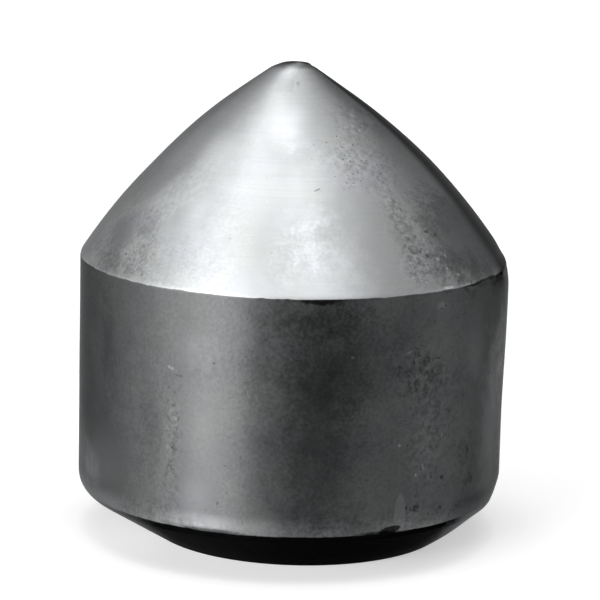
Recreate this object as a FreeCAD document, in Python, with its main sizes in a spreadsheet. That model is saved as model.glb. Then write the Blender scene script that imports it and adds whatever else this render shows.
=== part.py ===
# Conical tip of cemented carbide for a cutting pick, pressed and sintered as one piece.
# Millimetres. +Z runs along the tip's axis to its point, and the origin is the centre of its flat base.
import FreeCAD
import Part
import Sketcher
import math
import os

NODE = "carbide_tip"
OUTPUT_FOLDER = "parts"

# Driving dimensions: name, value in millimetres, what it sizes.
SIZES = (
    ("body_diameter", 22.0, "cylinder that seats in the pick's drilled pocket"),
    ("grip_length", 12.0, "height of the cylinder, from the base cone to the shoulder"),
    ("nose_height", 10.0, "height of the working nose, from the shoulder to the point"),
    ("nose_radius", 30.0, "radius of the nose's bulged flank, seen in section"),
    ("tip_cone_length", 2.2, "straight flank between the bulge and the ball end"),
    ("tip_radius", 2.0, "radius of the ball end at the point"),
    ("shoulder_round", 0.5, "round between the bulged flank and the cylinder"),
    ("base_cone_height", 2.5, "height of the lead-in cone under the cylinder"),
    ("base_cone_run", 3.5, "how far the lead-in cone comes in from the cylinder"),
    ("base_corner_round", 1.5, "round between the cylinder and the lead-in cone"),
    ("base_rim_round", 0.3, "round between the lead-in cone and the flat base"),
)

# How near an edge or a face has to lie to the place where it is looked for.
PLACE_TOLERANCE = 1e-4


def fill_sheet(doc):
    """Writes the driving dimensions into a spreadsheet, one named cell each."""
    sheet = doc.addObject("Spreadsheet::Sheet", "Sizes")
    for column, heading in (("A", "name"), ("B", "millimetres"), ("C", "what it sizes")):
        sheet.set(f"{column}1", heading)
    for row, (name, value, meaning) in enumerate(SIZES, start=2):
        sheet.set(f"A{row}", name)
        sheet.set(f"B{row}", str(value))
        sheet.set(f"C{row}", meaning)
        sheet.setAlias(f"B{row}", name)
    doc.recompute()
    return sheet


def section_points(sheet):
    """Corners and arc centres of half the tip's section, as (radius, height) vectors.

    The straight flank touches both the ball end and the bulge. So the ball's centre, the
    bulge's centre and the shoulder make a triangle whose three sides are known, and its
    angles give the slope of the straight flank.
    """
    body_radius = sheet.body_diameter / 2
    shoulder_height = sheet.base_cone_height + sheet.grip_length
    point_height = shoulder_height + sheet.nose_height
    shoulder = FreeCAD.Vector(body_radius, shoulder_height, 0)
    ball_centre = FreeCAD.Vector(0, point_height - sheet.tip_radius, 0)

    inset = sheet.nose_radius - sheet.tip_radius
    centre_gap = math.hypot(inset, sheet.tip_cone_length)
    reach = shoulder.sub(ball_centre)
    squares = reach.Length**2 + centre_gap**2 - sheet.nose_radius**2
    opening = math.acos(squares / (2 * reach.Length * centre_gap))
    lean = math.atan2(sheet.tip_cone_length, inset)
    slope = math.pi + math.atan2(reach.y, reach.x) - opening - lean

    outward = FreeCAD.Vector(math.cos(slope), math.sin(slope), 0)
    downward = FreeCAD.Vector(math.sin(slope), -math.cos(slope), 0)
    ball_end = ball_centre + outward * sheet.tip_radius
    bulge_end = ball_end + downward * sheet.tip_cone_length
    return {
        "base_centre": FreeCAD.Vector(0, 0, 0),
        "base_rim": FreeCAD.Vector(body_radius - sheet.base_cone_run, 0, 0),
        "base_corner": FreeCAD.Vector(body_radius, sheet.base_cone_height, 0),
        "shoulder": shoulder,
        "bulge_centre": bulge_end - outward * sheet.nose_radius,
        "bulge_end": bulge_end,
        "ball_end": ball_end,
        "ball_centre": ball_centre,
        "point": FreeCAD.Vector(0, point_height, 0),
    }


def arc_between(centre, start, end):
    """Anticlockwise arc about a centre, from one point to another."""
    spokes = [place.sub(centre) for place in (start, end)]
    first, last = (math.atan2(spoke.y, spoke.x) for spoke in spokes)
    circle = Part.Circle(centre, FreeCAD.Vector(0, 0, 1), spokes[0].Length)
    return Part.ArcOfCircle(circle, first, last)


def draw_section(body, sheet):
    """Draws half the section on the body's XZ plane and ties its sizes to the sheet."""
    sketch = body.newObject("Sketcher::SketchObject", "Section")
    plane = next(feature for feature in body.Origin.OriginFeatures if feature.Role == "XZ_Plane")
    sketch.AttachmentSupport = [(plane, "")]
    sketch.MapMode = "FlatFace"

    at = section_points(sheet)
    base = sketch.addGeometry(Part.LineSegment(at["base_centre"], at["base_rim"]))
    cone = sketch.addGeometry(Part.LineSegment(at["base_rim"], at["base_corner"]))
    wall = sketch.addGeometry(Part.LineSegment(at["base_corner"], at["shoulder"]))
    bulge = sketch.addGeometry(arc_between(at["bulge_centre"], at["shoulder"], at["bulge_end"]))
    flank = sketch.addGeometry(Part.LineSegment(at["bulge_end"], at["ball_end"]))
    ball = sketch.addGeometry(arc_between(at["ball_centre"], at["ball_end"], at["point"]))
    axis = sketch.addGeometry(Part.LineSegment(at["point"], at["base_centre"]))

    start, end, centre = 1, 2, 3
    origin, across, upright = (-1, start), -1, -2
    joined = [
        Sketcher.Constraint("Coincident", base, start, *origin),
        Sketcher.Constraint("Coincident", base, end, cone, start),
        Sketcher.Constraint("Coincident", cone, end, wall, start),
        Sketcher.Constraint("Coincident", wall, end, bulge, start),
        Sketcher.Constraint("Tangent", bulge, end, flank, start),
        Sketcher.Constraint("Tangent", flank, end, ball, start),
        Sketcher.Constraint("Coincident", ball, end, axis, start),
        Sketcher.Constraint("Coincident", axis, end, *origin),
        Sketcher.Constraint("PointOnObject", base, end, across),
        Sketcher.Constraint("Vertical", wall),
        Sketcher.Constraint("PointOnObject", axis, start, upright),
        Sketcher.Constraint("PointOnObject", ball, centre, upright),
    ]
    sketch.addConstraint(joined)

    tie(sketch, sheet, "BodyRadius", "body_diameter / 2", "DistanceX", *origin, wall, start)
    tie(sketch, sheet, "GripLength", "grip_length", "DistanceY", wall, start, wall, end)
    tie(sketch, sheet, "NoseHeight", "nose_height", "DistanceY", wall, end, ball, end)
    tie(sketch, sheet, "NoseRadius", "nose_radius", "Radius", bulge)
    tie(sketch, sheet, "TipConeLength", "tip_cone_length", "Distance", flank)
    tie(sketch, sheet, "TipRadius", "tip_radius", "Radius", ball)
    tie(sketch, sheet, "ConeHeight", "base_cone_height", "DistanceY", cone, start, cone, end)
    tie(sketch, sheet, "ConeRun", "base_cone_run", "DistanceX", cone, start, cone, end)
    return sketch


def tie(sketch, sheet, name, formula, kind, *elements):
    """Adds a named dimension to the sketch, whose value is a formula on the sheet's cells."""
    alias, _, divisor = formula.partition(" / ")
    value = getattr(sheet, alias) / float(divisor or 1)
    number = sketch.addConstraint(Sketcher.Constraint(kind, *elements, value))
    sketch.renameConstraint(number, name)
    sketch.setExpression(f"Constraints.{name}", f"{sheet.Name}.{formula}")


def edge_at(feature, radius, height):
    """Name of the feature's circular edge with this radius at this height."""
    for number, edge in enumerate(feature.Shape.Edges, start=1):
        on_radius = abs(edge.BoundBox.XMax - radius) < PLACE_TOLERANCE
        low, high = edge.BoundBox.ZMin, edge.BoundBox.ZMax
        if on_radius and max(abs(low - height), abs(high - height)) < PLACE_TOLERANCE:
            return f"Edge{number}"
    raise ValueError(f"no edge of radius {radius} at height {height}")


def round_edge(body, sheet, name, radius, height, size):
    """Rounds one circular edge of the body by the radius that a cell of the sheet holds."""
    before = body.Tip
    fillet = body.newObject("PartDesign::Fillet", name)
    fillet.Base = (before, [edge_at(before, radius, height)])
    fillet.Radius = getattr(sheet, size)
    fillet.setExpression("Radius", f"{sheet.Name}.{size}")
    body.Document.recompute()


def make_tip(doc, sheet):
    """Turns the section about the tip's axis and rounds the three edges that this leaves."""
    body = doc.addObject("PartDesign::Body", "CarbideTip")
    body.Label = NODE
    section = draw_section(body, sheet)
    blank = body.newObject("PartDesign::Revolution", "Blank")
    blank.Profile = section
    blank.ReferenceAxis = (section, ["V_Axis"])
    blank.Angle = 360
    doc.recompute()

    corners = section_points(sheet)
    for name, corner, size in (
        ("ShoulderRound", corners["shoulder"], "shoulder_round"),
        ("BaseCornerRound", corners["base_corner"], "base_corner_round"),
        ("BaseRimRound", corners["base_rim"], "base_rim_round"),
    ):
        round_edge(body, sheet, name, corner.x, corner.y, size)
    body.Placement = FreeCAD.Placement()
    doc.recompute()
    return body


def check_model(doc, body):
    """Stops the build if an object failed or the tip isn't one valid solid."""
    failed = [item.Name for item in doc.Objects if {"Invalid", "Error"} & set(item.State)]
    if failed:
        raise RuntimeError(f"failed objects: {failed}")
    shape = body.Shape
    if shape.isNull() or not shape.isValid() or len(shape.Solids) != 1:
        raise RuntimeError(f"{body.Label} isn't one valid solid")


def wall_span(body, radius):
    """Lowest and highest height of the cylinder that its two rounded edges leave."""
    walls = [face for face in body.Shape.Faces if isinstance(face.Surface, Part.Cylinder)]
    wall = next(face for face in walls if abs(face.Surface.Radius - radius) < PLACE_TOLERANCE)
    return wall.BoundBox.ZMin, wall.BoundBox.ZMax


def main():
    """Builds the tip, checks it, writes its STEP file and prints its measures."""
    doc = FreeCAD.newDocument("CarbideTip")
    sheet = fill_sheet(doc)
    tip = make_tip(doc, sheet)
    check_model(doc, tip)

    os.makedirs(OUTPUT_FOLDER, exist_ok=True)
    tip.Shape.exportStep(os.path.join(OUTPUT_FOLDER, f"{tip.Label}.step"))

    solid = tip.Shape.Solids[0]
    box = solid.optimalBoundingBox()
    low, high = wall_span(tip, sheet.body_diameter / 2)
    print(f"{tip.Label}: {box.XLength:.3f} x {box.YLength:.3f} x {box.ZLength:.3f} mm")
    print(f"volume {solid.Volume:.2f} mm3, centre of mass at {solid.CenterOfMass.z:.3f} mm")
    print(f"cylinder wall from {low:.3f} to {high:.3f} mm, {high - low:.3f} mm long")


main()
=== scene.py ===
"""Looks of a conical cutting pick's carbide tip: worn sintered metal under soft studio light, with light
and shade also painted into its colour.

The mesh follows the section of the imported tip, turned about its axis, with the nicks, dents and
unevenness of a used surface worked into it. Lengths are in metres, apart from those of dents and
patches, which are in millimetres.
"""

import logging
import math
import random
from collections.abc import Iterator
from dataclasses import dataclass
from enum import Enum
from typing import Any

import bmesh
import bpy
from mathutils import Matrix, Quaternion, Vector, noise
from mathutils.kdtree import KDTree

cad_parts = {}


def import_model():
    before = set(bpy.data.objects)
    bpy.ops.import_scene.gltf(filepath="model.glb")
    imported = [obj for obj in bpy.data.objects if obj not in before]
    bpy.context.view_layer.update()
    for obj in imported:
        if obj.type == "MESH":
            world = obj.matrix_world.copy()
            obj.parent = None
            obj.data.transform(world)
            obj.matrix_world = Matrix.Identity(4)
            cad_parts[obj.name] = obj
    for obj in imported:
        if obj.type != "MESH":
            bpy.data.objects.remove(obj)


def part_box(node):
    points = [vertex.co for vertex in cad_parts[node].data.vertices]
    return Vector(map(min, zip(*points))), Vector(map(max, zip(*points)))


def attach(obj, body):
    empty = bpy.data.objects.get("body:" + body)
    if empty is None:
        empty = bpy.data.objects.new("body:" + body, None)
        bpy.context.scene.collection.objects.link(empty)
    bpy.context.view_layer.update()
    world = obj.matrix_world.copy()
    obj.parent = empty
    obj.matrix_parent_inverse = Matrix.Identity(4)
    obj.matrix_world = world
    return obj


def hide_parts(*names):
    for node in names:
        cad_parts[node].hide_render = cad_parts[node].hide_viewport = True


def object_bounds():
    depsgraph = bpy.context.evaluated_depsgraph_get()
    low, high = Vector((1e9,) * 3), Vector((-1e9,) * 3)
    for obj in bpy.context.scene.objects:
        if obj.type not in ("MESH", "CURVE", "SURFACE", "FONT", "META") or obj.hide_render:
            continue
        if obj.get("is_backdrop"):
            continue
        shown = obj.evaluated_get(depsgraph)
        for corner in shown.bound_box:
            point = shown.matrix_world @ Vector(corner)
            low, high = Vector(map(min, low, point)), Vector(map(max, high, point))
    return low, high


LOG = logging.getLogger("pick_tip")

MM = 0.001
NODE = "carbide_tip"
BODY = "root"
WHITE = (1.0, 1.0, 1.0, 1.0)
# Size of the noise that ruffles a dent's rim.
DENT_RUFFLE = 0.3 * MM
# Value of a patch's gradient at its rim, which is 1 in its middle.
PATCH_RIM = 0.5
# Mean of a noise.
NOISE_MEAN = 0.5
# Share of a dot's radius that is at full strength.
DOT_CORE = 0.4
# How softly the places that have a dot are told from those that have none.
DRAW_SOFTNESS = 0.01


def smooth(value: float, low: float, high: float) -> float:
    """Smooth step from 0 at low to 1 at high."""
    share = min(max((value - low) / (high - low), 0.0), 1.0)
    return share * share * (3 - 2 * share)


class Spread(Enum):
    """How a patch of the finish fades towards its rim."""

    CRISP = 0.15
    SOFT = 0.6
    MISTY = 1.0


class Socket:
    """Output of a shader node, on which Python's arithmetic adds Math nodes."""

    def __init__(self, graph: "Graph", output: bpy.types.NodeSocket) -> None:
        """Wraps an output of one of the graph's nodes."""
        self.graph = graph
        self.output = output

    def __add__(self, other: "Number") -> "Socket":
        """Sum."""
        return self.graph.math("ADD", self, other)

    def __sub__(self, other: "Number") -> "Socket":
        """Difference."""
        return self.graph.math("SUBTRACT", self, other)

    def __rsub__(self, other: "Number") -> "Socket":
        """Difference with this socket on the right."""
        return self.graph.math("SUBTRACT", other, self)

    def __mul__(self, other: "Number") -> "Socket":
        """Product."""
        return self.graph.math("MULTIPLY", self, other)

    __radd__ = __add__
    __rmul__ = __mul__


Number = Socket | float


class Graph:
    """Adds nodes to one node tree."""

    def __init__(self, tree: bpy.types.NodeTree) -> None:
        """Takes over the node tree of a material or of the world, and empties it."""
        self.tree = tree
        tree.nodes.clear()

    def node(
        self, kind: str, settings: dict[str, Any] | None = None, inputs: dict[Any, Any] | None = None
    ) -> bpy.types.Node:
        """Adds a node.

        Args:
            kind: the node's type, such as ShaderNodeMath.
            settings: the node's own properties.
            inputs: a value or a link for each socket, by name or number.

        Returns:
            The new node.
        """
        made = self.tree.nodes.new(kind)
        for name, value in (settings or {}).items():
            setattr(made, name, value)
        for name, value in (inputs or {}).items():
            if isinstance(value, Socket):
                self.tree.links.new(value.output, made.inputs[name])
            else:
                made.inputs[name].default_value = value
        return made

    def out(
        self,
        kind: str,
        output: str | int,
        settings: dict[str, Any] | None = None,
        inputs: dict[Any, Any] | None = None,
    ) -> Socket:
        """Adds a node and wraps the output with this name or number."""
        return Socket(self, self.node(kind, settings, inputs).outputs[output])

    def math(self, operation: str, *values: Number) -> Socket:
        """Adds a Math node with these operands."""
        return self.out("ShaderNodeMath", 0, {"operation": operation}, dict(enumerate(values)))

    def vector(self, operation: str, *values: Any) -> Socket:
        """Adds a Vector Math node with these operands."""
        return self.out("ShaderNodeVectorMath", 0, {"operation": operation}, dict(enumerate(values)))

    def along(self, axis: str, place: Socket) -> Socket:
        """Coordinate of a place along X, Y or Z."""
        return self.out("ShaderNodeSeparateXYZ", axis, {}, {"Vector": place})

    def step(self, value: Number, low: float, high: float) -> Socket:
        """Smooth step from 0 to 1.

        Args:
            value: what is compared.
            low: where the step starts.
            high: where the step ends. It is under low for a step that falls.

        Returns:
            The step.
        """
        return self.out(
            "ShaderNodeMapRange",
            "Result",
            {"interpolation_type": "SMOOTHSTEP"},
            {"Value": value, "From Min": low, "From Max": high},
        )

    def noise(self, place: Socket, size: float, detail: float = 2.0) -> Socket:
        """Noise about 0, with clouds of this size and a number of finer layers."""
        inputs = {"Vector": place, "Scale": 1 / size, "Detail": detail}
        return self.out("ShaderNodeTexNoise", 0, {}, inputs) - NOISE_MEAN

    def scaled(self, place: Socket, sizes: tuple[float, float, float]) -> Socket:
        """Place, with the length along each axis that becomes 1."""
        scale = tuple(1 / size for size in sizes)
        return self.out("ShaderNodeMapping", 0, {}, {"Vector": place, "Scale": scale})

    def dots(self, place: Socket, size: float, share: Number, reach: float) -> Socket:
        """Scattered round dots.

        Args:
            place: the place at which they are read.
            size: the mean distance between places where a dot may be.
            share: the share of those places that has a dot.
            reach: a dot's radius as a share of that distance.

        Returns:
            1 inside a dot and 0 elsewhere.
        """
        inputs = {"Vector": place, "Scale": 1 / size}
        cells = self.node("ShaderNodeTexVoronoi", {}, inputs)
        distance, colour = (Socket(self, cells.outputs[name]) for name in ("Distance", "Color"))
        draw = self.out("ShaderNodeSeparateColor", 0, {}, {"Color": colour})
        chosen = self.step(draw - share, DRAW_SOFTNESS, -DRAW_SOFTNESS)
        return self.step(distance, reach, reach * DOT_CORE) * chosen

    def seen(self) -> Socket:
        """Tells the rays by which a thing is seen from those that light it.

        Returns:
            1 for a ray from the camera or from a mirror or glass, and 0 for any other.
        """
        path = self.node("ShaderNodeLightPath")
        camera, glossy, through = (
            Socket(self, path.outputs[f"Is {kind} Ray"]) for kind in ("Camera", "Glossy", "Transmission")
        )
        return self.math("MAXIMUM", self.math("MAXIMUM", camera, glossy), through)


@dataclass
class Viewpoint:
    """Where the photograph was taken from, worked out from the tip's outline and edges."""

    aim_height: float = 10.45 * MM
    aim_right: float = 0.385 * MM
    aim_up: float = 1.591 * MM
    distance: float = 173.8 * MM
    elevation: float = math.radians(12.713)
    roll: float = math.radians(1.318)
    lens_mm: float = 200.75
    sensor_mm: float = 36.0
    clip_ratio: float = 100.0

    def build(self) -> None:
        """Adds the camera and makes it the scene's own."""
        away = Vector((0.0, -math.cos(self.elevation), math.sin(self.elevation)))
        up = Vector((0.0, math.sin(self.elevation), math.cos(self.elevation)))
        on_axis = Vector((0.0, 0.0, self.aim_height))
        place = on_axis + away * self.distance
        aim = on_axis + Vector((1.0, 0.0, 0.0)) * self.aim_right + up * self.aim_up
        data = bpy.data.cameras.new("photo_view")
        data.lens = self.lens_mm
        data.sensor_width = self.sensor_mm
        data.clip_start = self.distance / self.clip_ratio
        data.clip_end = self.distance * self.clip_ratio
        camera = bpy.data.objects.new("photo_view", data)
        camera.rotation_mode = "QUATERNION"
        camera.location = place
        turn = Quaternion((0.0, 0.0, 1.0), self.roll)
        camera.rotation_quaternion = (aim - place).to_track_quat("-Z", "Y") @ turn
        bpy.context.scene.collection.objects.link(camera)
        bpy.context.scene.camera = camera


@dataclass
class TipShape:
    """The tip's section, turned about the upright axis."""

    body_radius: float
    height: float
    grip_length: float = 12.0 * MM
    nose_radius: float = 30.0 * MM
    tip_cone_length: float = 2.2 * MM
    tip_radius: float = 2.0 * MM
    shoulder_round: float = 0.5 * MM
    base_cone_height: float = 2.5 * MM
    base_cone_run: float = 3.5 * MM
    base_corner_round: float = 1.5 * MM
    base_rim_round: float = 0.3 * MM
    turns: int = 448
    doublings: int = 5
    bulge_steps: int = 46
    ball_steps: int = 10
    ring_gap: float = 0.22 * MM
    base_gap: float = 1.0 * MM
    fine_reach: float = 0.6 * MM
    base_share: float = 0.1
    coarse_share: float = 0.6
    base_rim_steps: int = 4
    base_corner_steps: int = 12
    shoulder_steps: int = 8
    weld_share: float = 1e-5

    @property
    def shoulder(self) -> Vector:
        """Corner between the nose and the cylinder."""
        return Vector((self.body_radius, 0.0, self.base_cone_height + self.grip_length))

    def radius_at(self, height: float) -> float:
        """Radius of the plain form, without its rounds.

        Args:
            height: the height at which it is read.

        Returns:
            The radius there.
        """
        if height < self.base_cone_height:
            return self.body_radius - self.base_cone_run * (1 - height / self.base_cone_height)
        if height <= self.shoulder.z:
            return self.body_radius
        bulge, _, _ = self.nose_arcs()
        return bulge.x + math.sqrt(self.nose_radius**2 - (height - bulge.z) ** 2)

    def place_at(self, azimuth: float, height: float) -> Vector:
        """Place on the plain form.

        Args:
            azimuth: degrees from the front.
            height: the place's height.

        Returns:
            The place.
        """
        angle = math.radians(azimuth)
        radius = self.radius_at(height)
        return Vector((radius * math.sin(angle), -radius * math.cos(angle), height))

    def nose_arcs(self) -> tuple[Vector, Vector, float]:
        """Works out the nose's two arcs, which a straight flank joins.

        The ball's centre, the bulge's centre and the shoulder make a triangle whose three sides
        are known, and its angles give the flank's slope.

        Returns:
            The bulge's centre, the ball's centre, and the angle of the flank's outward
            direction above the level.
        """
        ball = Vector((0.0, 0.0, self.height - self.tip_radius))
        inset = self.nose_radius - self.tip_radius
        gap = math.hypot(inset, self.tip_cone_length)
        reach = self.shoulder - ball
        squares = reach.length_squared + gap**2 - self.nose_radius**2
        opening = math.acos(squares / (2 * reach.length * gap))
        lean = math.atan2(self.tip_cone_length, inset)
        slope = math.pi + math.atan2(reach.z, reach.x) - opening - lean
        outward = Vector((math.cos(slope), 0.0, math.sin(slope)))
        downward = Vector((math.sin(slope), 0.0, -math.cos(slope)))
        bulge = ball - outward * inset + downward * self.tip_cone_length
        return bulge, ball, slope

    def section(self, bm: bmesh.types.BMesh) -> None:
        """Draws half the section as a chain of edges, from the base's centre up to the point.

        Args:
            bm: an empty mesh.
        """
        bulge, ball, slope = self.nose_arcs()
        spoke = self.shoulder - bulge
        bulge_angle = slope - math.atan2(spoke.z, spoke.x)
        flank = Vector((-math.sin(slope), 0.0, math.cos(slope))) * self.tip_cone_length
        rim = Vector((self.body_radius - self.base_cone_run, 0.0, 0.0))
        corner = Vector((self.body_radius, 0.0, self.base_cone_height))

        start = bm.verts.new((0.0, 0.0, 0.0))
        base_rim = self.draw_to(bm, start, rim)
        base_corner = self.draw_to(bm, base_rim, corner)
        shoulder = self.draw_to(bm, base_corner, self.shoulder)
        bulge_end = self.draw_arc(bm, shoulder, bulge, bulge_angle, self.bulge_steps)
        ball_end = self.draw_to(bm, bulge_end, bulge_end.co + flank)
        point = self.draw_arc(bm, ball_end, ball, math.pi / 2 - slope, self.ball_steps)
        point.co.x = 0.0

        self.round_corner(bm, base_rim, self.base_rim_round, self.base_rim_steps)
        self.round_corner(bm, base_corner, self.base_corner_round, self.base_corner_steps)
        self.round_corner(bm, shoulder, self.shoulder_round, self.shoulder_steps)
        self.divide(bm)

    def divide(self, bm: bmesh.types.BMesh) -> None:
        """Divides the section's long edges, more finely beside the two worn corners.

        Args:
            bm: the mesh with the section.
        """
        for edge in bm.edges[:]:
            on_base = max(vertex.co.z for vertex in edge.verts) < self.ring_gap * self.base_share
            gap = self.base_gap if on_base else self.ring_gap
            cuts = int(edge.calc_length() / gap)
            if cuts:
                bmesh.ops.subdivide_edges(bm, edges=[edge], cuts=cuts)
        for height in (self.shoulder.z, self.base_cone_height):
            reach = self.fine_reach
            near = [e for e in bm.edges if all(abs(v.co.z - height) < reach for v in e.verts)]
            coarse = [e for e in near if e.calc_length() > self.ring_gap * self.coarse_share]
            bmesh.ops.subdivide_edges(bm, edges=coarse, cuts=1)

    @staticmethod
    def draw_to(bm: bmesh.types.BMesh, start: bmesh.types.BMVert, place: Vector) -> bmesh.types.BMVert:
        """Draws a straight edge from a vertex to a place.

        Args:
            bm: the mesh.
            start: where the edge starts.
            place: where it ends.

        Returns:
            The vertex at its end.
        """
        end = bmesh.ops.extrude_vert_indiv(bm, verts=[start])["verts"][0]
        end.co = place
        return end

    @staticmethod
    def draw_arc(
        bm: bmesh.types.BMesh, start: bmesh.types.BMVert, centre: Vector, angle: float, steps: int
    ) -> bmesh.types.BMVert:
        """Draws an arc in the section's plane.

        Args:
            bm: the mesh.
            start: where the arc starts.
            centre: the arc's centre.
            angle: how far it turns upwards, in radians.
            steps: into how many edges it is divided.

        Returns:
            The vertex at its end.
        """
        made = bmesh.ops.spin(
            bm, geom=[start], cent=centre, axis=(0.0, -1.0, 0.0), angle=angle, steps=steps
        )
        return made["geom_last"][0]

    @staticmethod
    def round_corner(
        bm: bmesh.types.BMesh, corner: bmesh.types.BMVert, radius: float, segments: int
    ) -> None:
        """Rounds a corner of the section.

        Args:
            bm: the mesh.
            corner: the vertex at the corner.
            radius: the round's radius.
            segments: into how many edges it is divided.
        """
        ways = [(edge.other_vert(corner).co - corner.co).normalized() for edge in corner.link_edges]
        turn = math.pi - ways[0].angle(ways[1])
        bmesh.ops.bevel(
            bm,
            geom=[corner],
            offset=radius * math.tan(turn / 2),
            segments=segments,
            profile=0.5,
            affect="VERTICES",
            material=-1,
            clamp_overlap=True,
        )

    def turn(self, bm: bmesh.types.BMesh) -> None:
        """Spins the section through one sector, and doubles that until the turn is full.

        Args:
            bm: the mesh with the section.
        """
        sectors = 2**self.doublings
        angle = math.tau / sectors
        steps = self.turns // sectors
        axis = Vector((0.0, 0.0, 1.0))
        profile = bm.verts[:] + bm.edges[:]
        bmesh.ops.spin(bm, geom=profile, cent=Vector(), axis=axis, angle=angle, steps=steps)
        for _ in range(self.doublings):
            copied = bmesh.ops.duplicate(bm, geom=bm.verts[:] + bm.edges[:] + bm.faces[:])["geom"]
            copies = [item for item in copied if isinstance(item, bmesh.types.BMVert)]
            bmesh.ops.rotate(bm, verts=copies, cent=Vector(), matrix=Matrix.Rotation(angle, 3, axis))
            angle *= 2

    def build(self, wear: "Wear") -> bpy.types.Object:
        """Turns the section into a closed shell and wears it.

        Args:
            wear: the wear.

        Returns:
            The tip's object, at the origin.
        """
        bm = bmesh.new()
        self.section(bm)
        self.turn(bm)
        bmesh.ops.remove_doubles(bm, verts=bm.verts[:], dist=self.body_radius * self.weld_share)
        bmesh.ops.recalc_face_normals(bm, faces=bm.faces[:])
        for face in bm.faces:
            face.smooth = True
        wear.work(bm, self)
        mesh = bpy.data.meshes.new("pick_tip")
        bm.to_mesh(mesh)
        bm.free()
        tip = bpy.data.objects.new("pick_tip", mesh)
        bpy.context.scene.collection.objects.link(tip)
        return tip


@dataclass(frozen=True)
class Dent:
    """A nick, bruise or groove, placed by its azimuth from the front and its height.

    Its azimuth is in degrees, and its height, half sizes and depth are in millimetres.
    """

    azimuth: float
    height: float
    half_width: float
    half_height: float
    depth: float
    ragged: float = 0.2

    def press(self, bm: bmesh.types.BMesh, shape: TipShape, tree: KDTree, moves: list[Vector]) -> None:
        """Adds to the vertices' moves what this dent pushes in.

        Args:
            bm: the plain tip.
            shape: its form.
            tree: its vertices.
            moves: how far each vertex moves.
        """
        middle, nearest, _ = tree.find(shape.place_at(self.azimuth, self.height * MM))
        angle = math.radians(self.azimuth)
        across = Vector((math.cos(angle), math.sin(angle), 0.0))
        inward = -bm.verts[nearest].normal
        along = inward.cross(across).normalized()
        half_width, half_height = self.half_width * MM, self.half_height * MM
        reach = max(half_width, half_height) * (1 + self.ragged)
        for place, index, _ in tree.find_range(middle, reach):
            offset = place - middle
            share = math.hypot(offset.dot(across) / half_width, offset.dot(along) / half_height)
            share += self.ragged * noise.noise(place / DENT_RUFFLE)
            if share < 1:
                moves[index] += inward * (self.depth * MM) * (1 - share**2) ** 2


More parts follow.
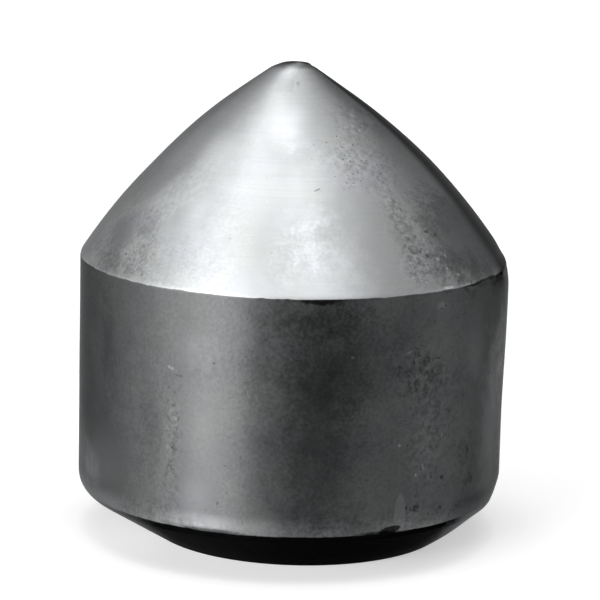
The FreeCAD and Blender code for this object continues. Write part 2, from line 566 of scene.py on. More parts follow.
@dataclass
class Wear:
    """What pressing, sintering and handling did to the tip's form.

    The sizes of the hidden side's nicks are in millimetres, as a dent's are.
    """

    dents: tuple[Dent, ...] = (
        Dent(0.8, 23.69, 0.13, 0.13, 0.03),
        Dent(6, 14.30, 1.20, 0.16, 0.05, 0.4),
        Dent(45, 14.42, 0.60, 0.14, 0.05, 0.4),
        Dent(52.4, 14.36, 0.35, 0.18, 0.10, 0.3),
        Dent(60, 14.30, 0.90, 0.16, 0.10, 0.4),
        Dent(71, 14.24, 1.20, 0.24, 0.14, 0.4),
        Dent(84, 14.16, 1.40, 0.28, 0.12, 0.4),
        Dent(24, 2.70, 1.10, 0.26, 0.10, 0.4),
        Dent(34.4, 3.64, 0.36, 0.32, 0.03, 0.5),
        Dent(-33, 2.25, 2.30, 0.40, 0.07),
        Dent(58, 2.25, 2.00, 0.36, 0.06),
        Dent(90, 14.75, 4.00, 0.90, 0.05, 0.1),
        Dent(88, 2.40, 5.00, 1.00, 0.13, 0.1),
    )
    wave_depth: float = 0.012 * MM
    wave_size: float = 3.5 * MM
    wave_start: float = 0.5 * MM
    point_shift: float = -0.20 * MM
    point_swell: float = 0.14 * MM
    point_reach: tuple[float, float] = (18.6 * MM, 23.8 * MM)
    axis_reach: float = 1.0 * MM
    crown_swell: float = 0.26 * MM
    crown_reach: tuple[float, float] = (24.30 * MM, 24.46 * MM)
    crown_right: tuple[float, float] = (-0.9 * MM, 0.3 * MM)
    facet_reach: float = 0.47 * MM
    facet_slope: float = 1.51
    facet_start: float = 23.2 * MM
    wall_swell: float = 0.15 * MM
    wall_reach: tuple[float, float] = (6.0 * MM, 13.0 * MM)
    wall_end: tuple[float, float] = (13.2 * MM, 14.8 * MM)
    wall_right: tuple[float, float] = (4.0 * MM, 11.0 * MM)
    foot_shift: float = 0.50 * MM
    foot_reach: float = 2.7 * MM
    foot_swell: float = 0.15 * MM
    foot_swell_start: tuple[float, float] = (-0.4 * MM, 0.9 * MM)
    foot_swell_end: tuple[float, float] = (2.2 * MM, 3.3 * MM)
    flat_height: float = 24.49 * MM
    flat_lean: float = 0.06
    hidden_nicks: int = 26
    nick_azimuths: tuple[float, float] = (100.0, 270.0)
    nick_drop: float = 0.12
    nick_rise: float = 0.2
    nick_stray: float = 0.1
    nick_half_widths: tuple[float, float] = (0.2, 0.9)
    nick_half_heights: tuple[float, float] = (0.12, 0.26)
    nick_depths: tuple[float, float] = (0.03, 0.10)
    nick_ragged: float = 0.4
    seed: int = 7

    def work(self, bm: bmesh.types.BMesh, shape: TipShape) -> None:
        """Wears the plain tip.

        Args:
            bm: the plain tip.
            shape: its form.
        """
        bm.normal_update()
        bm.verts.index_update()
        bm.verts.ensure_lookup_table()
        tree = KDTree(len(bm.verts))
        for vertex in bm.verts:
            tree.insert(vertex.co, vertex.index)
        tree.balance()
        moves = [self.unevenness(vertex) for vertex in bm.verts]
        for dent in self.dents + tuple(self.scatter(shape)):
            dent.press(bm, shape, tree, moves)
        for vertex, move in zip(bm.verts, moves):
            vertex.co += move
            self.grind(vertex)

    def grind(self, vertex: bmesh.types.BMVert) -> None:
        """Flattens the point's top, and a small facet on its right.

        Args:
            vertex: the vertex, which is moved if it lies outside them.
        """
        if vertex.co.z > self.facet_start:
            below = self.flat_height - vertex.co.z
            vertex.co.x = min(vertex.co.x, self.facet_reach + self.facet_slope * below)
            vertex.co.z = min(vertex.co.z, self.flat_height + self.flat_lean * vertex.co.x)

    def unevenness(self, vertex: bmesh.types.BMVert) -> Vector:
        """Slow waves all over, and a point and a foot that are off the axis.

        Args:
            vertex: a vertex of the plain tip.

        Returns:
            How far it moves.
        """
        height = vertex.co.z
        rise = smooth(height, *self.point_reach)
        crown = smooth(height, *self.crown_reach)
        wall = smooth(height, *self.wall_reach) * (1 - smooth(height, *self.wall_end))
        wall *= smooth(vertex.co.x, *self.wall_right)
        foot = 1 - smooth(height, 0.0, self.foot_reach)
        belly = smooth(height, *self.foot_swell_start) * (1 - smooth(height, *self.foot_swell_end))
        wave = self.wave_depth * noise.noise(vertex.co / self.wave_size)
        outward = vertex.normal * (wave * smooth(height, 0.0, self.wave_start))
        level = Vector((vertex.co.x, vertex.co.y, 0.0))
        if level.length:
            swell = self.point_swell * rise * min(1.0, level.length / self.axis_reach)
            swell += self.crown_swell * crown * smooth(vertex.co.x, *self.crown_right)
            swell += self.foot_swell * belly
            outward += level.normalized() * swell
        sideways = self.point_shift * rise + self.wall_swell * wall + self.foot_shift * foot
        return outward + Vector((sideways, 0.0, 0.0))

    def scatter(self, shape: TipShape) -> Iterator[Dent]:
        """Nicks along both edges of the side that the photograph doesn't show.

        Args:
            shape: the plain tip's form.

        Yields:
            Each nick.
        """
        draw = random.Random(self.seed)
        edges = (shape.shoulder.z / MM - self.nick_drop, shape.base_cone_height / MM + self.nick_rise)
        for _ in range(self.hidden_nicks):
            height = draw.choice(edges)
            half_width = draw.uniform(*self.nick_half_widths)
            yield Dent(
                draw.uniform(*self.nick_azimuths),
                height + draw.uniform(-self.nick_stray, self.nick_stray),
                half_width,
                draw.uniform(*self.nick_half_heights),
                draw.uniform(*self.nick_depths),
                self.nick_ragged,
            )


@dataclass(frozen=True)
class NoiseSizes:
    """Sizes of the noises that the finish is made of, and where cracks and blotches set in."""

    clouds: float = 2.6 * MM
    mottle: float = 0.7 * MM
    grain: float = 0.17 * MM
    crumbs: float = 0.3 * MM
    lines: tuple[float, float, float] = (5.0 * MM, 5.0 * MM, 0.09 * MM)
    smears: tuple[float, float, float] = (0.28 * MM, 0.28 * MM, 1.1 * MM)
    warp: float = 0.35 * MM
    warp_reach: float = 0.5 * MM
    crack_cells: float = 0.55 * MM
    crack_edge: tuple[float, float] = (0.11, 0.02)
    crack_gaps: tuple[float, float] = (-0.03, 0.05)
    blotches: float = 6.0 * MM
    blotch_edge: tuple[float, float] = (-0.04, 0.14)
    far_side: tuple[float, float] = (2.0 * MM, 6.0 * MM)


@dataclass(frozen=True)
class Grounds:
    """The place on the tip, and the noises that the finish is made of."""

    graph: Graph
    place: Socket
    height: Socket
    warped: Socket
    clouds: Socket
    mottle: Socket
    grain: Socket
    ruffled: Socket
    lines: Socket
    crumbs: Socket
    cracks: Socket
    smears: Socket
    hidden: Socket

    @classmethod
    def on(cls, graph: Graph, sizes: NoiseSizes) -> "Grounds":
        """Adds the noises.

        Args:
            graph: the material's nodes.
            sizes: their sizes.

        Returns:
            The noises.
        """
        place = graph.out("ShaderNodeTexCoord", "Object")
        inputs = {"Vector": place, "Scale": 1 / sizes.warp}
        scatter = graph.out("ShaderNodeTexNoise", "Color", {}, inputs)
        centred = graph.vector("SUBTRACT", scatter, (NOISE_MEAN,) * 3)
        warped = graph.vector("MULTIPLY_ADD", centred, (sizes.warp_reach,) * 3, place)
        edges = graph.out(
            "ShaderNodeTexVoronoi",
            "Distance",
            {"feature": "DISTANCE_TO_EDGE"},
            {"Vector": warped, "Scale": 1 / sizes.crack_cells},
        )
        clouds = graph.noise(place, sizes.clouds)
        mottle = graph.noise(place, sizes.mottle)
        grain = graph.noise(place, sizes.grain, detail=1.0)
        blotches = graph.step(graph.noise(place, sizes.blotches), *sizes.blotch_edge)
        return cls(
            graph=graph,
            place=place,
            height=graph.along("Z", place),
            warped=warped,
            clouds=clouds,
            mottle=mottle,
            grain=grain,
            ruffled=clouds + mottle + grain,
            lines=graph.noise(graph.scaled(place, sizes.lines), size=1.0, detail=1.0),
            crumbs=graph.noise(warped, sizes.crumbs),
            cracks=graph.step(edges, *sizes.crack_edge) * graph.step(mottle, *sizes.crack_gaps),
            smears=graph.noise(graph.scaled(place, sizes.smears), size=1.0),
            hidden=blotches * graph.step(graph.along("Y", place), *sizes.far_side),
        )


@dataclass(frozen=True)
class Patch:
    """An oval of the surface where the finish differs or light and shade are painted, placed by azimuth
    from the front and height.

    Its azimuth and tilt are in degrees, and its height, half sizes and depth are in millimetres.
    """

    azimuth: float
    height: float
    half_width: float
    half_height: float
    gain: float = 1.0
    crust: float = 0.0
    cracks: float = 0.0
    pits: float = 0.0
    smear: float = 0.0
    spread: Spread = Spread.SOFT
    tilt: float = 0.0
    ragged: float = 0.6
    depth: float = 4.0

    def mask(self, grounds: Grounds, shape: TipShape) -> Socket:
        """Works out where the patch lies.

        Args:
            grounds: the noises, one of which ruffles the patch's rim.
            shape: the tip's form.

        Returns:
            1 inside the patch and 0 outside it.
        """
        half_sizes = (self.half_width, self.depth, self.half_height)
        inputs = {
            "Vector": grounds.place,
            "Location": shape.place_at(self.azimuth, self.height * MM),
            "Rotation": (0.0, -math.radians(self.tilt), math.radians(self.azimuth)),
            "Scale": tuple(half_size * MM / PATCH_RIM for half_size in half_sizes),
        }
        graph = grounds.graph
        local = graph.out("ShaderNodeMapping", 0, {"vector_type": "TEXTURE"}, inputs)
        ball = {"gradient_type": "SPHERICAL"}
        inwards = graph.out("ShaderNodeTexGradient", "Fac", ball, {"Vector": local})
        inwards = inwards - grounds.ruffled * (self.ragged * PATCH_RIM)
        return graph.step(inwards, PATCH_RIM, PATCH_RIM * (1 + self.spread.value))


@dataclass(frozen=True)
class Cloud(Patch):
    """A patch that fades all the way from its middle to its rim."""

    spread: Spread = Spread.MISTY


@dataclass
class Layer:
    """What the patches of one area add up to."""

    gain: Number = 1.0
    crust: Number = 0.0
    cracks: Number = 0.0
    pits: Number = 0.0
    smear: Number = 0.0

    def add(self, patch: Patch, mask: Socket) -> None:
        """Takes in one patch.

        Args:
            patch: the patch.
            mask: where it lies.
        """
        if patch.gain != 1.0:
            self.gain = self.gain * (mask * (patch.gain - 1.0) + 1.0)
        for name in ("crust", "cracks", "pits", "smear"):
            amount = getattr(patch, name)
            if amount:
                setattr(self, name, getattr(self, name) + mask * amount)


@dataclass(frozen=True)
class CarbideFinish:
    """Sintered carbide: a ground nose, a wall darkened by painted shade, and a foot made near-black by
    painted shade.

    The painted-shade dark flank starts and ends at azimuths, in degrees from the front.
    """

    shape: TipShape
    sizes: NoiseSizes = NoiseSizes()
    nose_tone: float = 0.45
    # The wall's own tone, darkened by painted shade.
    wall_tone_and_shade: float = 0.081
    # Near-black painted shade on the foot, less black on its far side.
    foot_shade_tone: float = 0.003
    foot_far_shade_tone: float = 0.05
    foot_far_reach: tuple[float, float] = (1.0 * MM, 7.0 * MM)
    # Painted highlight towards the wall's lower edge.
    rim_highlight_tone: float = 0.10
    nose_start: float = 14.47 * MM
    foot_end: float = 2.45 * MM
    rim_end: float = 3.6 * MM
    border: float = 0.03 * MM
    border_ruffle: float = 0.10 * MM
    nose_roughness: float = 0.57
    wall_roughness: float = 0.5
    mottle_roughness: float = 0.1
    pit_roughness: float = 0.1
    one_way: float = 0.8
    one_way_turn: float = 0.25
    edge_tint: float = 0.4
    smooth_share: float = 0.35
    cool: tuple[float, float, float, float] = (0.98, 1.0, 1.05, 1.0)
    dull: tuple[float, float, float, float] = (0.97, 1.0, 0.98, 1.0)
    tint_contrast: float = 2.0
    cloud_tone: float = 0.4
    mottle_tone: float = 0.4
    grain_tone: float = 0.45
    crumb_tone: float = 2.0
    crack_tone: float = 0.3
    pit_tone: float = 0.4
    speck_tone: float = 0.7
    line_tone: float = 0.06
    point_line_tone: float = 0.06
    point_line_reach: tuple[float, float] = (15.0 * MM, 20.0 * MM)
    grain_relief: float = 0.2
    crackle_relief: float = 0.5
    pit_relief: float = 0.8
    speck_relief: float = 0.3
    relief: float = 0.02 * MM
    pit_size: float = 0.15 * MM
    pit_reach: float = 0.35
    stray_pits: float = 0.004
    speck_size: float = 0.27 * MM
    speck_reach: float = 0.25
    speck_share: float = 0.08
    stray_specks: float = 0.001
    hidden_wear: tuple[tuple[str, float], ...] = (
        ("crust", 0.7),
        ("cracks", 0.3),
        ("pits", 0.15),
        ("smear", 0.4),
    )
    # Painted shade: a dark flank on the nose's right, and a darker far side.
    flank_start: tuple[float, float] = (67.0, 77.0)
    flank_end: tuple[float, float] = (100.0, 180.0)
    flank_side: tuple[float, float] = (0.0, 0.5)
    flank_ruffle: float = 0.05
    flank_shade_gain: float = 0.23
    far_start: tuple[float, float] = (0.16, 0.6)
    far_shade_gain: float = 0.7
    nose_wear_and_painted_light: tuple[Patch, ...] = (
        # Painted shade on the point, and in a dent near it.
        Cloud(-6, 24.47, 2.8, 0.28, gain=0.4, ragged=0.2),
        Cloud(-14, 23.6, 0.7, 0.8, gain=0.8, ragged=0.2),
        Patch(0.8, 23.69, 0.13, 0.12, gain=0.75),
        # Painted highlight on the middle, with painted lighter and darker clouds of light and shade
        # beside it.
        Cloud(6, 14.4, 4.2, 4.8, gain=1.75, ragged=0.3),
        Cloud(1, 18.8, 2.6, 5.6, gain=1.4, ragged=0.3),
        Cloud(-17, 16.4, 2.6, 3.6, gain=0.88, ragged=0.3),
        Cloud(6, 16.6, 4.4, 2.8, gain=1.14),
        Cloud(-37, 15.2, 3.4, 1.8, gain=0.84),
        Cloud(-4, 21.8, 1.4, 1.6, gain=1.42, ragged=0.3),
        Cloud(-43, 20.5, 1.5, 1.3, gain=1.32, ragged=0.3),
        Cloud(-36, 18, 1, 1.3, gain=1.16, ragged=0.3),
        Cloud(-51, 16.9, 1.2, 1.7, gain=0.76),
        Cloud(-49.5, 14.95, 1, 0.6, gain=0.8),
        Cloud(-45.5, 16, 0.9, 1.4, gain=0.82),
        Cloud(10, 17.4, 2.8, 2.2, gain=1.13, ragged=0.3),
        Cloud(15, 19.8, 3.4, 4.6, gain=1.2, ragged=0.3),
        Patch(8.7, 19.20, 0.20, 0.04, gain=0.55, spread=Spread.CRISP, tilt=20, ragged=0.3),
        Patch(37, 17.1, 1.2, 2, gain=0.84),
        Cloud(59, 15, 2.8, 1.1, gain=0.72),
        # Bright flecks.
        Patch(45.2, 15.84, 0.16, 0.10, gain=2.1, ragged=0.5),
        Patch(48.8, 15.94, 0.10, 0.13, gain=1.8, ragged=0.5),
        Patch(47, 15.38, 0.12, 0.11, gain=1.9, ragged=0.5),
        Patch(50.3, 15.02, 0.17, 0.11, gain=1.8, ragged=0.5),
        # Cloudy left side: smears and crust, with painted light and shade.
        Patch(-49, 18.4, 1.5, 3.4, gain=1.25, smear=0.5, tilt=-45),
        Patch(-50, 16.3, 1.8, 2.4, gain=1.1, crust=0.05, smear=0.4),
        Cloud(-62, 15.8, 3.2, 3, gain=0.61),
        Cloud(-54, 14.7, 4, 1.5, gain=0.72, smear=0.2),
        Patch(-43.3, 15.6, 1.7, 1.5, crust=0.08, pits=0.04, smear=0.3),
        Patch(-54.1, 15.53, 0.14, 0.08, gain=0.5),
        Patch(-66, 18.6, 1, 1.7, gain=0.92, spread=Spread.CRISP, tilt=-52, ragged=0.3),
        # Pits and crackle on the right, with painted shade over the right side.
        Cloud(33, 20.5, 3, 2.6, crust=0.55, pits=0.7),
        Cloud(48, 22, 2.2, 1.2, crust=0.7),
        Patch(37.5, 17.6, 0.9, 2.4, crust=0.7, cracks=0.5, smear=0.3, tilt=6),
        Patch(37.5, 15.7, 1.4, 1.2, crust=0.8, cracks=0.8, pits=0.06, smear=0.3),
        Patch(60, 16.2, 3.7, 4, gain=0.64, crust=0.08, smear=0.05),
        Cloud(49, 17.4, 1.7, 2.8, gain=0.8, tilt=6),
        Patch(46, 15.1, 1.4, 0.6, crust=0.5),
        Cloud(46, 15.3, 3.4, 1.5, gain=0.76),
        Cloud(88, 15.2, 2.4, 1.9, gain=0.5),
        Patch(45.7, 17.07, 0.18, 0.12, gain=0.5),
        Patch(49, 16.88, 0.15, 0.12, gain=0.5),
        # Painted shade along the chipped shoulder, and a painted highlight on its edge.
        Patch(62, 14.47, 1.9, 0.12, gain=0.16, ragged=0.4),
        Patch(81, 14.48, 2.4, 0.14, gain=0.2, ragged=0.4),
        Cloud(82, 14.70, 2.4, 0.60, gain=0.45, ragged=0.3),
        Patch(45, 14.56, 0.6, 0.09, gain=1.7, ragged=1),
    )
    wall_wear_and_painted_light: tuple[Patch, ...] = (
        # Painted shade under the chipped shoulder's edge.
        Patch(6, 14.42, 1.7, 0.32, gain=0.2),
        Patch(57, 14.44, 1.5, 0.12, gain=0.2, ragged=0.5),
        Patch(75, 14.40, 2.6, 0.20, gain=0.16, ragged=0.4),
        Cloud(76, 14.10, 3.4, 0.9, gain=0.5),
        Patch(55, 14.00, 0.5, 0.2, gain=0.8, tilt=35),
        # Painted shade on the middle, painted reflections on the lighter sides, and painted clouds of
        # light and shade between them.
        Cloud(7.5, 8, 3.4, 9.5, gain=0.5, ragged=0.3),
        Cloud(13, 11.2, 4, 4.2, gain=0.52, ragged=0.3),
        Cloud(70, 6.5, 2.8, 8, gain=2.3),
        Cloud(86, 6.5, 2.2, 6, gain=1.8),
        Cloud(84, 10.2, 4.5, 4, gain=1.9),
        Cloud(90, 5, 2.6, 4.2, gain=1.8),
        Cloud(-66, 3.9, 2, 1.1, gain=1.3),
        Cloud(30.5, 12.9, 1.7, 2, gain=0.84, ragged=0.3),
        Cloud(56.5, 10.8, 1.4, 3.2, gain=1.35, ragged=0.3),
        Cloud(40, 2.95, 1.5, 0.7, gain=0.66, ragged=0.3),
        Cloud(-57, 11.5, 1.1, 3.4, gain=0.82),
        Cloud(-25, 11.8, 1.8, 1.5, gain=1.2),
        Cloud(-18, 3, 1.5, 0.5, gain=1.15),
        Cloud(6, 13.5, 4, 1.5, gain=0.6),
        Cloud(-8, 10.6, 1.2, 2.8, gain=0.78),
        Cloud(-24, 7.5, 1.6, 6.2, gain=1.24),
        Cloud(-25.5, 4.1, 1.3, 1.5, gain=1.25),
        Cloud(-38, 7, 1, 4.8, gain=0.84),
        Cloud(-61, 4.5, 2.8, 2.6, gain=1.45),
        Cloud(-6, 3.2, 1.3, 0.8, gain=1.3),
        Cloud(-76, 4.2, 3.2, 2.8, gain=1.9),
        # Crackle and pits on the right.
        Patch(56, 9.3, 1, 0.5, gain=0.87, tilt=-35),
        Cloud(53, 5.6, 1.9, 2.2, gain=0.87, crust=0.7),
        Patch(42.2, 13.70, 0.50, 0.34, gain=1.4, cracks=1.2),
        Cloud(40, 8.5, 4.2, 6.5, crust=0.5, pits=0.05),
        Cloud(38, 6.6, 2, 3.4, gain=1.15, crust=0.45, pits=0.15),
        Cloud(36, 10.4, 2, 1.9, gain=0.85, crust=1, pits=0.5),
        # Chipped lower edge: painted shade in and beside the chips, painted highlights along the rim,
        # and smears.
        Patch(30.3, 3.4, 0.34, 1.15, gain=1.35, spread=Spread.CRISP, ragged=0.3),
        Cloud(33, 3.3, 1.2, 1.1, gain=1.15),
        Patch(35.4, 3.60, 0.26, 0.14, gain=0.45, ragged=0.9),
        Patch(32.3, 3.64, 0.10, 0.15, gain=0.5),
        Patch(35.2, 3.52, 0.45, 0.3, crust=1.2, cracks=1.6, pits=0.5),
        Patch(24, 2.47, 1.5, 0.17, gain=0.2, ragged=0.4),
        Patch(27.6, 2.56, 0.65, 0.24, gain=0.14, spread=Spread.CRISP, tilt=14, ragged=0.2),
        Cloud(20, 2.70, 5, 1, gain=0.6),
        Patch(60, 2.60, 4.8, 1.15, gain=0.55, ragged=0.3),
        Patch(-19.5, 2.46, 2.4, 0.22, gain=0.36, ragged=0.4),
        Patch(-26, 2.76, 2.4, 0.13, gain=1.12, smear=0.6, ragged=1.2),
        Patch(-27, 2.9, 2.2, 0.5, gain=1.1, smear=0.4, ragged=1),
        # Column of specks on the left, and clouds beside it.
        Patch(-32, 7.4, 0.7, 2.6, crust=0.8, cracks=0.2, pits=0.1, smear=0.3),
        Patch(-32, 4.8, 0.7, 2.2, crust=0.5, pits=0.1, smear=0.3),
        Patch(-32.8, 10.54, 0.20, 0.09, gain=1.7, tilt=-30, ragged=0.4),
        Patch(-31.9, 10.50, 0.07, 0.16, gain=1.5, ragged=0.4),
        Patch(-30.2, 10.22, 0.35, 0.09, gain=0.75, tilt=-12),
        Patch(-56, 8.30, 0.10, 0.20, gain=1.3, ragged=0.4),
        Cloud(-40, 2.90, 3.2, 0.8, gain=0.66),
        Cloud(-45, 8, 2.6, 5, crust=0.2, pits=0.05, smear=0.2),
        Cloud(-21, 11, 2.4, 2.6, crust=0.3, smear=0.3),
        # Single pits and scratches.
        Patch(44, 4.90, 0.17, 0.14, gain=0.5),
        Patch(55, 4.36, 0.7, 0.35, gain=0.78, crust=0.5),
        Patch(43.8, 3.36, 0.17, 0.14, gain=0.5),
        Patch(37.2, 5.62, 0.10, 0.24, gain=1.6, tilt=20, ragged=0.5),
        Patch(31.8, 11.58, 0.26, 0.08, gain=1.6, tilt=15, ragged=0.5),
        Patch(33.2, 9.86, 0.6, 0.5, gain=0.8, crust=0.6, cracks=1),
        Patch(15.8, 11.55, 0.10, 0.08, gain=2.4, ragged=0.2),
        Patch(18.7, 11.05, 0.07, 0.07, gain=1.7, ragged=0.2),
        Patch(29.6, 6.90, 0.12, 0.10, gain=2.2, ragged=0.2),
        Patch(34.9, 5.28, 0.12, 0.10, gain=2.2, ragged=0.2),
        Patch(43.5, 7.10, 0.06, 0.22, gain=1.7, ragged=0.4),
    )
    foot_shade_patches: tuple[Patch, ...] = (
        # Grey sides of the foot's painted black shade.
        Cloud(-70, 1.8, 6.2, 5, gain=65, ragged=0.3),
        Patch(77, 1.8, 5.4, 4.4, gain=66, ragged=0.3),
    )

    def build(self) -> bpy.types.Material:
        """Makes the material.

        Returns:
            The material.
        """
        material = bpy.data.materials.new("sintered_carbide")
        material.use_nodes = True
        graph = Graph(material.node_tree)
        grounds = Grounds.on(graph, self.sizes)
        nose, foot = self.areas(grounds)
        on_nose, on_wall, on_shaded_foot = (
            self.layer(grounds, patches)
            for patches in (self.nose_wear_and_painted_light, self.wall_wear_and_painted_light, self.foot_shade_patches)
        )
        crust, cracked, pitted, smeared = (
            nose * getattr(on_nose, name) + (1 - nose) * getattr(on_wall, name) + grounds.hidden * hidden
            for name, hidden in self.hidden_wear
        )
        pits = graph.dots(grounds.warped, self.pit_size, pitted + self.stray_pits, self.pit_reach)
        speckled = crust * self.speck_share + self.stray_specks
        specks = graph.dots(grounds.warped, self.speck_size, speckled, self.speck_reach)
        share = 1 - nose * (1 - self.smooth_share)

        # Painted shade darkens the nose's flank and far side, the wall and the foot; a painted highlight
        # lightens the wall's lower edge.
        tone = nose * on_nose.gain * self.nose_tone * self.flank(grounds)
        tone = tone + (1 - nose) * (1 - foot) * self.wall(grounds) * on_wall.gain
        tone = tone + foot * (self.far_foot_shade(grounds) + on_shaded_foot.gain * self.foot_shade_tone)
        rough = grounds.clouds * self.cloud_tone + grounds.mottle * self.mottle_tone
        rough = rough + grounds.grain * self.grain_tone
        crackle = crust * grounds.crumbs * self.crumb_tone - cracked * grounds.cracks * self.crack_tone
        streaks = smeared * grounds.smears + grounds.lines * self.line_depth(grounds)
        tone = tone * (1 + rough * share + streaks + crackle)
        tone = tone * (1 - pits * self.pit_tone) * (1 + specks * self.speck_tone)
        cloudy = grounds.clouds * self.tint_contrast + NOISE_MEAN
        tints = {"Factor": cloudy, "A": self.cool, "B": self.dull}
        tint = graph.out("ShaderNodeMix", "Result", {"data_type": "RGBA"}, tints)
        colour = graph.out("ShaderNodeVectorMath", 0, {"operation": "SCALE"}, {0: tint, "Scale": tone})

        height = grounds.grain * share * self.grain_relief + crackle * self.crackle_relief
        height = height - pits * self.pit_relief + specks * self.speck_relief
        bump = graph.out("ShaderNodeBump", 0, {}, {"Distance": self.relief, "Height": height})
        uneven = grounds.mottle * self.mottle_roughness + pits * self.pit_roughness
        uneven = uneven + nose * (self.nose_roughness - self.wall_roughness)
        tint_edges = (self.edge_tint, self.edge_tint, self.edge_tint, 1.0)
        shader = graph.node(
            "ShaderNodeBsdfPrincipled",
            {},
            {
                "Base Color": colour,
                "Metallic": 1.0,
                "Roughness": uneven + self.wall_roughness,
                "Anisotropic": self.one_way,
                "Anisotropic Rotation": self.one_way_turn,
                "Specular Tint": tint_edges,
                "Normal": bump,
            },
        )
        graph.node("ShaderNodeOutputMaterial", {}, {"Surface": Socket(graph, shader.outputs[0])})
        return material

    def flank(self, grounds: Grounds) -> Socket:
        """Tone of the nose, with painted shade on a dark flank on its right and on its far side.

        Args:
            grounds: the noises.

        Returns:
            The painted-shade gain of the flank there, a painted-shade gain for the far side, and 1
            elsewhere.
        """
        graph = grounds.graph
        spoke = graph.vector("NORMALIZE", graph.vector("MULTIPLY", grounds.place, (1.0, 1.0, 0.0)))
        rightness, depth = (graph.along(axis, spoke) for axis in "XY")
        start, end = (
            [-math.cos(math.radians(azimuth)) for azimuth in reach]
            for reach in (self.flank_start, self.flank_end)
        )
        front = graph.step(depth + grounds.ruffled * self.flank_ruffle, *start)
        # Painted shade on the flank and on the far side.
        dark = front * (1 - graph.step(depth, *end)) * graph.step(rightness, *self.flank_side)
        far = graph.step(depth, *self.far_start) * (1 - self.far_shade_gain)
        return (1 - dark * (1 - self.flank_shade_gain)) * (1 - far)

    def far_foot_shade(self, grounds: Grounds) -> Socket:
        """What makes the painted shade on the foot's far side less black than on its front."""
        behind = grounds.graph.along("Y", grounds.place)
        return grounds.graph.step(behind, *self.foot_far_reach) * self.foot_far_shade_tone

    def line_depth(self, grounds: Grounds) -> Socket:
        """How deep the fine level lines are, which are clearest near the point."""
        near_point = grounds.graph.step(grounds.height, *self.point_line_reach)
        return near_point * self.point_line_tone + self.line_tone

    def wall(self, grounds: Grounds) -> Socket:
        """Tone of the wall, darkened by painted shade, with a painted highlight towards its lower edge.
        """
        near_edge = grounds.graph.step(grounds.height, self.rim_end, self.foot_end)
        return near_edge * self.rim_highlight_tone + self.wall_tone_and_shade

    def areas(self, grounds: Grounds) -> tuple[Socket, Socket]:
        """Works out where the nose and the foot are. The wall is between them.

        Args:
            grounds: the noises.

        Returns:
            1 on the nose, and 1 on the foot.
        """
        graph = grounds.graph
        height = grounds.height + grounds.mottle * self.border_ruffle
        nose = graph.step(height, self.nose_start - self.border, self.nose_start + self.border)
        foot = graph.step(height, self.foot_end + self.border, self.foot_end - self.border)
        return nose, foot

    def layer(self, grounds: Grounds, patches: tuple[Patch, ...]) -> Layer:
        """Adds up the patches of one area.

        Args:
            grounds: the noises.
            patches: the patches.

        Returns:
            Their sum.
        """
        made = Layer()
        for patch in patches:
            made.add(patch, patch.mask(grounds, self.shape))
        return made


@dataclass(frozen=True)
class Lamp:
    """A soft box that faces the tip."""

    name: str
    azimuth: float
    elevation: float
    radiance: float
    distance: float = 250 * MM
    width: float = 100 * MM
    height: float = 75 * MM

    def build(self, centre: Vector) -> None:
        """Adds the lamp.

        Args:
            centre: what the lamp faces.
        """
        azimuth, elevation = math.radians(self.azimuth), math.radians(self.elevation)
        way = Vector(
            (
                math.sin(azimuth) * math.cos(elevation),
                -math.cos(azimuth) * math.cos(elevation),
                math.sin(elevation),
            )
        )
        data = bpy.data.lights.new(self.name, "AREA")
        data.shape = "RECTANGLE"
        data.size = self.width
        data.size_y = self.height
        data.energy = self.radiance * math.pi * self.width * self.height
        lamp = bpy.data.objects.new(self.name, data)
        lamp.location = centre + way * self.distance
        lamp.rotation_euler = (-way).to_track_quat("-Z", "Y").to_euler()
        bpy.context.scene.collection.objects.link(lamp)


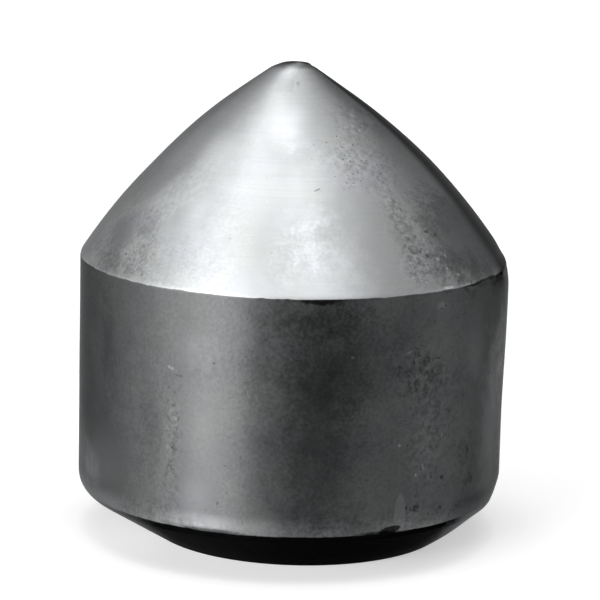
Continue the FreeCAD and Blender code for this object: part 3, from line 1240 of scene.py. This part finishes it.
@dataclass
class Studio:
    """Pale floor, dim room and soft boxes."""

    floor_reach: float = 0.5
    floor_grey: float = 0.62
    floor_glow: float = 0.5
    glow_start: float = 0.04
    glow_end: float = 0.25
    room_grey: float = 0.06
    backdrop_top: float = 0.16
    lamps: tuple[Lamp, ...] = (
        Lamp("low_front_left", -36, 8, 25.5),
        Lamp("low_left", -60, 8, 14.5),
        Lamp("low_far_left", -84, 8, 5.1),
        Lamp("low_left_back", -108, 8, 1.2),
        Lamp("low_back_left", -132, 8, 1.1),
        Lamp("low_right", 84, 8, 0.9),
        Lamp("top", 0, 90, 5.9, width=0.1, height=0.1),
        Lamp("wide_top", 0, 90, 1.7, width=0.25, height=0.25),
        Lamp("wide_back_right", 108, 58, 0.66, width=0.22, height=0.14),
        Lamp("wide_right", 72, 58, 0.34, width=0.22, height=0.14),
        Lamp("wide_back_left", -140, 35, 0.34, width=0.22, height=0.14),
    )

    def build(self, centre: Vector) -> None:
        """Adds the floor, the room and the lamps.

        Args:
            centre: the middle of the tip.
        """
        self.build_floor()
        self.build_room()
        for lamp in self.lamps:
            lamp.build(centre)

    def build_room(self) -> None:
        """Adds the world: a dim room, whose backdrop is white up to a little above the floor."""
        world = bpy.data.worlds.new("room")
        world.use_nodes = True
        bpy.context.scene.world = world
        graph = Graph(world.node_tree)
        rise = graph.along("Z", graph.out("ShaderNodeTexCoord", "Generated"))
        backdrop = graph.step(rise, self.backdrop_top, self.backdrop_top / 2) * graph.seen()
        strength = backdrop * (1 - self.room_grey) + self.room_grey
        room = graph.node("ShaderNodeBackground", {}, {"Color": WHITE, "Strength": strength})
        graph.node("ShaderNodeOutputWorld", {}, {"Surface": Socket(graph, room.outputs[0])})

    def build_floor(self) -> None:
        """Adds the floor at the tip's foot, which turns into the white backdrop further out."""
        bm = bmesh.new()
        bmesh.ops.create_grid(bm, x_segments=1, y_segments=1, size=self.floor_reach)
        mesh = bpy.data.meshes.new("floor")
        bm.to_mesh(mesh)
        bm.free()
        floor = bpy.data.objects.new("floor", mesh)
        bpy.context.scene.collection.objects.link(floor)
        material = bpy.data.materials.new("pale_paper")
        material.use_nodes = True
        graph = Graph(material.node_tree)
        place = graph.out("ShaderNodeTexCoord", "Object")
        away = graph.out("ShaderNodeVectorMath", "Value", {"operation": "LENGTH"}, {0: place})
        far = graph.step(away, self.glow_start, self.glow_end)
        glow = (far * (1 - self.floor_glow) + self.floor_glow) * graph.seen()
        colour = (self.floor_grey, self.floor_grey, self.floor_grey, 1.0)
        paper = graph.out("ShaderNodeBsdfDiffuse", 0, {}, {"Color": colour})
        light = graph.out("ShaderNodeEmission", 0, {}, {"Color": WHITE, "Strength": glow})
        both = graph.out("ShaderNodeAddShader", 0, {}, {0: paper, 1: light})
        graph.node("ShaderNodeOutputMaterial", {}, {"Surface": both})
        mesh.materials.append(material)
        floor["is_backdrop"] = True


def write_sizes(cad_box: tuple[Vector, Vector]) -> None:
    """Gathers the CAD model's box and the visual model's, but keeps neither.

    Args:
        cad_box: lowest and highest corner of the CAD model.
    """
    boxes = {"cad": cad_box, "visual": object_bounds()}
    {name: [list(corner) for corner in box] for name, box in boxes.items()}


def main() -> None:
    """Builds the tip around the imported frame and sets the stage."""
    logging.basicConfig(level=logging.INFO, format="%(message)s")
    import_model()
    cad_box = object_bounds()
    Viewpoint().build()

    low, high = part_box(NODE)
    shape = TipShape(body_radius=(high.x - low.x) / 2, height=high.z - low.z)
    tip = shape.build(Wear())
    tip.data.materials.append(CarbideFinish(shape).build())
    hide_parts(NODE)
    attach(tip, BODY)
    LOG.info("%s: %d faces", tip.name, len(tip.data.polygons))

    Studio().build(Vector((0.0, 0.0, shape.height / 2)))
    view = bpy.context.scene.view_settings
    view.view_transform = "Standard"
    write_sizes(cad_box)


if __name__ == "__main__":
    main()
